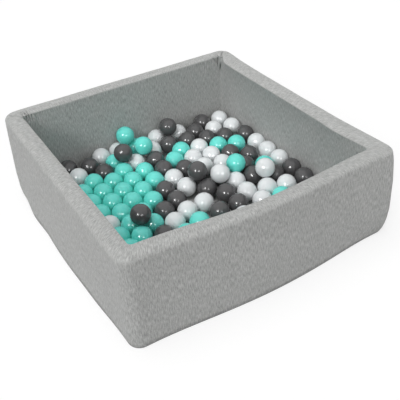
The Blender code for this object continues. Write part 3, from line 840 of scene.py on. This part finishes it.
def floor_sink(place):
    """How the floor's jersey dips between its tight spots, with small puckers along its edges."""
    edge = max(INNER_HALF - max(abs(place.x), abs(place.y)), 0)
    pucker = floor_noise(place, FLOOR_PUCKERS_PER_METRE, FLOOR_PUCKER_LAYER)
    pucker *= math.exp(-edge / FLOOR_PUCKER_REACH)
    wave = floor_noise(place, FLOOR_WAVES_PER_METRE, FLOOR_WAVE_LAYER)
    return FLOOR_DIP + FLOOR_PUCKER * pucker + FLOOR_WAVE * wave


def make_floor_layers(jersey, foam, base_cloth):
    """The bottom cloth, the foam mat and the jersey over the mat."""
    outer = plan_outline(0.0, 0)
    inner = plan_outline(-GAP, 1)
    item = plate("bottom_sheet", outer, BASE_LOW.z, BASE_HIGH.z, BOTTOM_SHEET_RINGS)
    finish_piece(item, base_cloth, "pit", "bottom_cloth", "bottom_cloth")
    declare_sheet(outer)
    mat = plate("floor_foam", inner, MAT_LOW.z, MAT_HIGH.z - JERSEY, FLOOR_FOAM_RINGS, floor_sink)
    finish_piece(mat, foam, "pit", "foam", "floor_mat")
    cloth = plate("floor_jersey", inner, FLOOR_TOP - JERSEY, FLOOR_TOP, FLOOR_JERSEY_RINGS, floor_sink)
    finish_piece(cloth, jersey, "pit", "jersey", "floor_cover")
    declare_sheet(inner)


def foam_point(side, cut, across, z):
    """A point of a foam slab, which is rounded off under the gathers and folds of the two rear corners."""
    place = wall_point(side, cut, across, z)
    corner = Vector((math.copysign(INNER_HALF, place.x), INNER_HALF))
    near = eased((FOAM_TUCK_REACH - (place.xy - corner).length) / FOAM_TUCK_REACH * 2)
    near *= eased((z - HEIGHT + 2 * FOAM_TUCK_REACH) / FOAM_TUCK_REACH)
    return place + (SIDES[side][0] * across - Vector((0, 0, 1))) * FOAM_TUCK * near


def make_foam_walls(foam):
    """The four foam slabs inside the cover, mitred to each other."""
    profile = wall_profile(FOAM_CLEAR, FOAM_RISE)
    cuts = wall_cuts(FOAM_CLEAR, FOAM_STEP)
    count = len(profile)
    for side in SIDES:
        bm = bmesh.new()
        rows = [[bm.verts.new(foam_point(side, cut, across, z)) for across, z in profile] for cut in cuts]
        bm.faces.new(reversed(rows[0]))
        bm.faces.new(rows[-1])
        for row, following in zip(rows, rows[1:]):
            for k in range(count):
                n = (k + 1) % count
                bm.faces.new((row[k], following[k], following[n], row[n]))
        bmesh.ops.recalc_face_normals(bm, faces=bm.faces[:])
        mesh = bpy.data.meshes.new("foam_" + side)
        bm.to_mesh(mesh)
        bm.free()
        mesh.shade_smooth()
        mesh.set_sharp_from_angle(angle=FOAM_SHARP_ANGLE)
        item = linked("foam_" + side, mesh)
        finish_piece(item, foam, "pit", "foam", "foam_wall_" + side)


def make_tapes(material):
    """The two woven tapes of the zip, each with a thicker edge next to the coil."""
    for node, up in (("zip_tape_lower", False), ("zip_tape_upper", True)):
        low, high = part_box(node)
        rows = []
        xs = spread(low.x, high.x, TAPE_STEP)
        zs = spread(low.z, high.z, TAPE_ROW)
        for x in xs:
            row = []
            for z in zs:
                to_coil = (z - low.z) if up else (high.z - z)
                bead = BEAD_RISE * math.exp(-(to_coil / BEAD_WIDTH) ** 2)
                row.append((x, high.y - BEAD_RISE + bead, z))
            rows.append(row)
        item = grid_piece(node.replace("zip_tape", "woven_tape"), rows[::-1], False,
                          xs, [z - low.z for z in zs])
        thicken(item, TAPE_THICKNESS)
        finish_piece(item, material, "pit", "zip_tape", node)


def make_coil(material):
    """The zip's coil: two nylon strands, one sewn to each tape, whose turns lie between each other."""
    low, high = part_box("zip_coil")
    middle = (low + high) / 2
    depth = (high.y - low.y) / 2 - COIL_WIRE
    reach = COIL_STRAND_HEIGHT / 2 - COIL_WIRE
    curve = bpy.data.curves.new("zip_teeth", "CURVE")
    curve.dimensions = "3D"
    curve.bevel_depth = COIL_WIRE
    curve.bevel_resolution = 1
    curve.use_fill_caps = True
    turns = int((high.x - low.x - 2 * COIL_WIRE) / COIL_PITCH) - 1
    for sign in (-1, 1):
        height = middle.z + sign * (high.z - middle.z - COIL_WIRE - reach)
        start = low.x + 2 * COIL_WIRE + (COIL_PITCH / 2 if sign > 0 else 0)
        spline = curve.splines.new("POLY")
        count = turns * COIL_TURN_POINTS
        spline.points.add(count - 1)
        for k, point in enumerate(spline.points):
            angle = 2 * math.pi * k / COIL_TURN_POINTS
            point.co = (start + COIL_PITCH * k / COIL_TURN_POINTS, middle.y + depth * math.cos(angle),
                        height + sign * reach * math.sin(angle), 1)
    finish_piece(linked("zip_teeth", curve), material, "pit", "zip_coil", "zip_coil")


def make_stitches(material):
    """The row of stitches that holds the cover's edge to the upper tape."""
    bm = bmesh.new()
    count = int(2 * SLOT_HALF / STITCH_PITCH)
    out = OUTER_HALF + STITCH_RADIUS * STITCH_PROUD_SHARE
    for k in range(count):
        x = (k + 0.5 - count / 2) * STITCH_PITCH
        tilt = Matrix.Rotation(math.pi / 2 + STITCH_TILT * (-1) ** k, 4, "Y")
        place = Matrix.Translation((x, out, SLOT_TOP + STITCH_RISE))
        shape = Matrix.Diagonal((STITCH_RADIUS, STITCH_RADIUS, STITCH_LENGTH / 2, 1))
        bmesh.ops.create_uvsphere(bm, u_segments=STITCH_SEGMENTS, v_segments=STITCH_RINGS, radius=1.0,
                                  matrix=place @ tilt @ shape)
    mesh = bpy.data.meshes.new("slot_stitches")
    bm.to_mesh(mesh)
    bm.free()
    mesh.shade_smooth()
    finish_piece(linked("slot_stitches", mesh), material, "pit", "zip_tape")


def dress_metal(material):
    """The stops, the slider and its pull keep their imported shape, with their edges broken."""
    for node in ("zip_stop_left", "zip_stop_right", "zip_slider", "zip_pull"):
        item = frame["nodes"][node]
        item.data.materials.clear()
        item.data.materials.append(material)
        weld = item.modifiers.new("weld", "WELD")
        weld.merge_threshold = METAL_WELD
        bevel = item.modifiers.new("edges", "BEVEL")
        bevel.width = METAL_BEVEL
        bevel.segments = METAL_BEVEL_STEPS
        bevel.limit_method = "ANGLE"
        bevel.angle_limit = METAL_BEVEL_ANGLE
        bevel.harden_normals = False


def ball_mesh(name, material):
    """A play ball, with the moulding seam round its middle and a small sunk mark at each end."""
    bm = bmesh.new()
    bmesh.ops.create_uvsphere(bm, u_segments=BALL_SEGMENTS, v_segments=BALL_RINGS, radius=BALL_RADIUS)
    step = math.pi / BALL_RINGS
    for vert in bm.verts:
        place = vert.co.copy()
        tilt = math.asin(max(-1.0, min(1.0, place.z / BALL_RADIUS)))
        ring = round(tilt / step)
        if abs(ring) == 1:
            tilt = math.copysign(SEAM_HALF / BALL_RADIUS, tilt)
        if abs(ring) == BALL_RINGS // 2 - 1:
            tilt = math.copysign(math.pi / 2 - GATE_RADIUS / BALL_RADIUS, tilt)
        radius = BALL_RADIUS + (SEAM_PROUD if ring == 0 else 0.0)
        if abs(ring) == BALL_RINGS // 2:
            radius -= GATE_SINK
        turn = math.atan2(place.y, place.x)
        level = math.cos(tilt)
        vert.co = Vector((math.cos(turn) * level, math.sin(turn) * level, math.sin(tilt))) * radius
    mesh = bpy.data.meshes.new(name)
    bm.to_mesh(mesh)
    bm.free()
    mesh.shade_smooth()
    mesh.materials.append(material)
    return mesh


def ball_middles(node):
    """The middles of a string's balls, from each ball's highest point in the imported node."""
    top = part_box(node)[1].z
    found = []
    for vert in frame["nodes"][node].data.vertices:
        if top - vert.co.z < GAP and all((vert.co.xy - other.xy).length > BALL_RADIUS for other in found):
            found.append(Vector((vert.co.x, vert.co.y, top - BALL_RADIUS)))
    return found


def across_floor(share):
    """A place along the floor's width, from its share of that width."""
    return (share - 0.5) * 2 * INNER_HALF


def letters_for(middles, table):
    """Each ball's colour letter: pairs of a ball and a table entry are taken closest first."""
    pairs = sorted(
        ((middle.xy - Vector((across_floor(x), across_floor(y)))).length, i, k, letter)
        for i, middle in enumerate(middles) for k, (letter, x, y) in enumerate(table))
    letters, used = {}, set()
    for _, i, k, letter in pairs:
        if i not in letters and k not in used:
            letters[i] = letter
            used.add(k)
    return [letters[i] for i in range(len(middles))]


def strung_balls():
    """The balls of the strings, each as its middle, colour letter, body and node."""
    found = []
    for number, table in enumerate(BALL_STRING_SHARES, 1):
        node = f"ball_string_{number:02d}"
        middles = ball_middles(node)
        assert len(middles) == len(table), node
        for middle, letter in zip(middles, letters_for(middles, table)):
            found.append((middle, letter, "ball_bed", node))
    return found


def loose_balls():
    """The balls that are nodes of their own, in the same form."""
    found = []
    for body, members in frame["record"]["behaviour"]["bodies"].items():
        for letter, colour in BALL_COLOURS.items():
            if body.startswith(colour + "_"):
                low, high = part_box(members[0])
                found.append(((low + high) / 2, letter, body, members[0]))
    return found


def make_balls(finishes):
    """Every ball as its own piece, in the place that its node gives it, from the lowest up."""
    meshes = {letter: ball_mesh(colour + "_ball", finishes[letter])
              for letter, colour in BALL_COLOURS.items()}
    chance = random.Random(BALL_SEED)
    settled, made = [], []
    counts = dict.fromkeys(BALL_COLOURS, 0)
    lowest_first = sorted(strung_balls() + loose_balls(), key=lambda ball: round(ball[0].z, 4))
    for middle, letter, body, node in lowest_first:
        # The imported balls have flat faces, so a ball that lies on others rises a little to lie on round ones
        for other in settled:
            room = (2 * BALL_RADIUS + GAP) ** 2 - (middle.xy - other.xy).length_squared
            if room > 0 and middle.z > BALL_REST + GAP:
                middle.z = max(middle.z, other.z + math.sqrt(room))
        settled.append(middle)
        counts[letter] += 1
        item = linked(f"{BALL_COLOURS[letter]}_ball_{counts[letter]:03d}", meshes[letter])
        item.location = middle
        item.rotation_euler = Euler([chance.uniform(0, 2 * math.pi) for _ in range(3)])
        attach(item, body)
        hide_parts(node)
        made.append(item)
    return made


def camera_axes():
    """The camera's right, up and back directions."""
    back = Vector((math.sin(CAMERA_AZIMUTH) * math.cos(CAMERA_ELEVATION),
                   -math.cos(CAMERA_AZIMUTH) * math.cos(CAMERA_ELEVATION), math.sin(CAMERA_ELEVATION)))
    level = Vector((math.cos(CAMERA_AZIMUTH), math.sin(CAMERA_AZIMUTH), 0))
    steep = back.cross(level)
    right = level * math.cos(CAMERA_ROLL) + steep * math.sin(CAMERA_ROLL)
    up = steep * math.cos(CAMERA_ROLL) - level * math.sin(CAMERA_ROLL)
    return right, up, back


def facing(right, up, back, place):
    """The world matrix of a camera with these axes."""
    return Matrix.Translation(place) @ Matrix((right, up, back)).transposed().to_4x4()


def make_camera():
    right, up, back = camera_axes()
    lens = bpy.data.cameras.new("camera")
    lens.lens = CAMERA_LENS
    lens.sensor_width = CAMERA_SENSOR
    item = linked("camera", lens)
    item.matrix_world = facing(right, up, back, CAMERA_TARGET + back * CAMERA_DISTANCE)
    bpy.context.scene.camera = item


def from_camera(shares):
    """A direction from its shares of the camera's right, up and back directions."""
    right, up, back = camera_axes()
    return right * shares[0] + up * shares[1] + back * shares[2]


def make_lamp(name, direction, spread_angle, level, blockers=None):
    """An even soft light from a direction. At level 1 it lights a surface that faces it as written.

    A lamp with blockers gives highlights alone, which only the blockers can shade. The others give none.
    """
    lamp = bpy.data.lights.new(name, "SUN")
    lamp.angle = spread_angle
    lamp.energy = level * math.pi
    item = linked(name, lamp)
    item.rotation_mode = "QUATERNION"
    item.rotation_quaternion = direction.to_track_quat("Z", "Y")
    item.location = direction.normalized() * LAMP_DISTANCE
    item.visible_glossy = blockers is not None
    item.visible_diffuse = blockers is None
    item.light_linking.blocker_collection = blockers


def make_lamps(balls):
    """Three soft lamps, and two that put the small double highlight on each ball."""
    left_side, right_side = from_camera(LEFT_SIDE_SHARES), from_camera(RIGHT_SIDE_SHARES)
    make_lamp("left_softbox", left_side, SIDE_LAMP_SPREAD, LEFT_LAMP_LEVEL)
    make_lamp("right_softbox", right_side, SIDE_LAMP_SPREAD, RIGHT_LAMP_LEVEL)
    make_lamp("top_softbox", TOP_DIRECTION, TOP_LAMP_SPREAD, TOP_LAMP_LEVEL)
    # The walls keep no highlight off the balls next to them
    blockers = bpy.data.collections.new("highlight_blockers")
    for ball in balls:
        blockers.objects.link(ball)
    make_lamp("left_sparkle", left_side, SPARKLE_SPREAD, LEFT_SPARKLE_LEVEL, blockers)
    make_lamp("right_sparkle", right_side, SPARKLE_SPREAD, RIGHT_SPARKLE_LEVEL, blockers)


def make_world():
    """An even pale world that lights at its own level and is seen as white."""
    world = bpy.data.worlds.new("studio")
    bpy.context.scene.world = world
    paint = Paint(world)
    paint.tree.nodes.clear()
    seen = light_path(paint)
    even = paint.node("Background", {}, {"Color": (1, 1, 1, 1), "Strength": AMBIENT_LEVEL})
    white = paint.node("Background", {}, {"Color": (1, 1, 1, 1), "Strength": 1.0})
    shown = paint.node("MixShader", {}, {0: seen, 1: even, 2: white})
    paint.node("OutputWorld", {"is_active_output": True}, {"Surface": shown})


def light_path(paint):
    """1 for what the camera sees directly, in a reflection or through clear material."""
    camera = paint.node("LightPath", {}, {}, "Is Camera Ray")
    glossy = paint.node("LightPath", {}, {}, "Is Glossy Ray")
    through = paint.node("LightPath", {}, {}, "Is Transmission Ray")
    return paint.limited(camera + glossy + through)


def make_floor():
    """A white floor that keeps a soft shadow."""
    bm = bmesh.new()
    bmesh.ops.create_grid(bm, x_segments=FLOOR_SQUARES, y_segments=FLOOR_SQUARES, size=FLOOR_SIZE / 2)
    mesh = bpy.data.meshes.new("floor")
    bm.to_mesh(mesh)
    bm.free()
    item = linked("floor", mesh)
    item.location.z = BASE_LOW.z - GAP
    material = bpy.data.materials.new("white_floor")
    paint = Paint(material)
    paint.tree.nodes.clear()
    bounce = paint.node("BsdfDiffuse", {}, {"Color": grey(FLOOR_BOUNCE_GREY)})
    matt = paint.node("BsdfDiffuse", {}, {"Color": grey(FLOOR_SEEN_GREY)})
    glow = paint.node("Emission", {}, {"Color": grey(1.0), "Strength": 1.0})
    lifted = paint.node("MixShader", {}, {0: 1 - FLOOR_SHADE_SHARE, 1: matt, 2: glow})
    shown = paint.node("MixShader", {}, {0: light_path(paint), 1: bounce, 2: lifted})
    paint.node("OutputMaterial", {}, {"Surface": shown})
    mesh.materials.append(material)


def main():
    jersey, foam = jersey_finish(), foam_finish()
    make_camera()
    make_floor()
    make_cover(jersey)
    make_floor_layers(jersey, foam, base_cloth_finish())
    make_foam_walls(foam)
    tape = tape_finish()
    make_tapes(tape)
    make_coil(coil_finish())
    make_stitches(tape)
    dress_metal(zinc_finish())
    balls = make_balls({letter: ball_finish(*plastic) for letter, plastic in BALL_PLASTICS.items()})
    make_lamps(balls)
    make_world()
    bpy.context.scene.view_settings.view_transform = "Standard"


main()
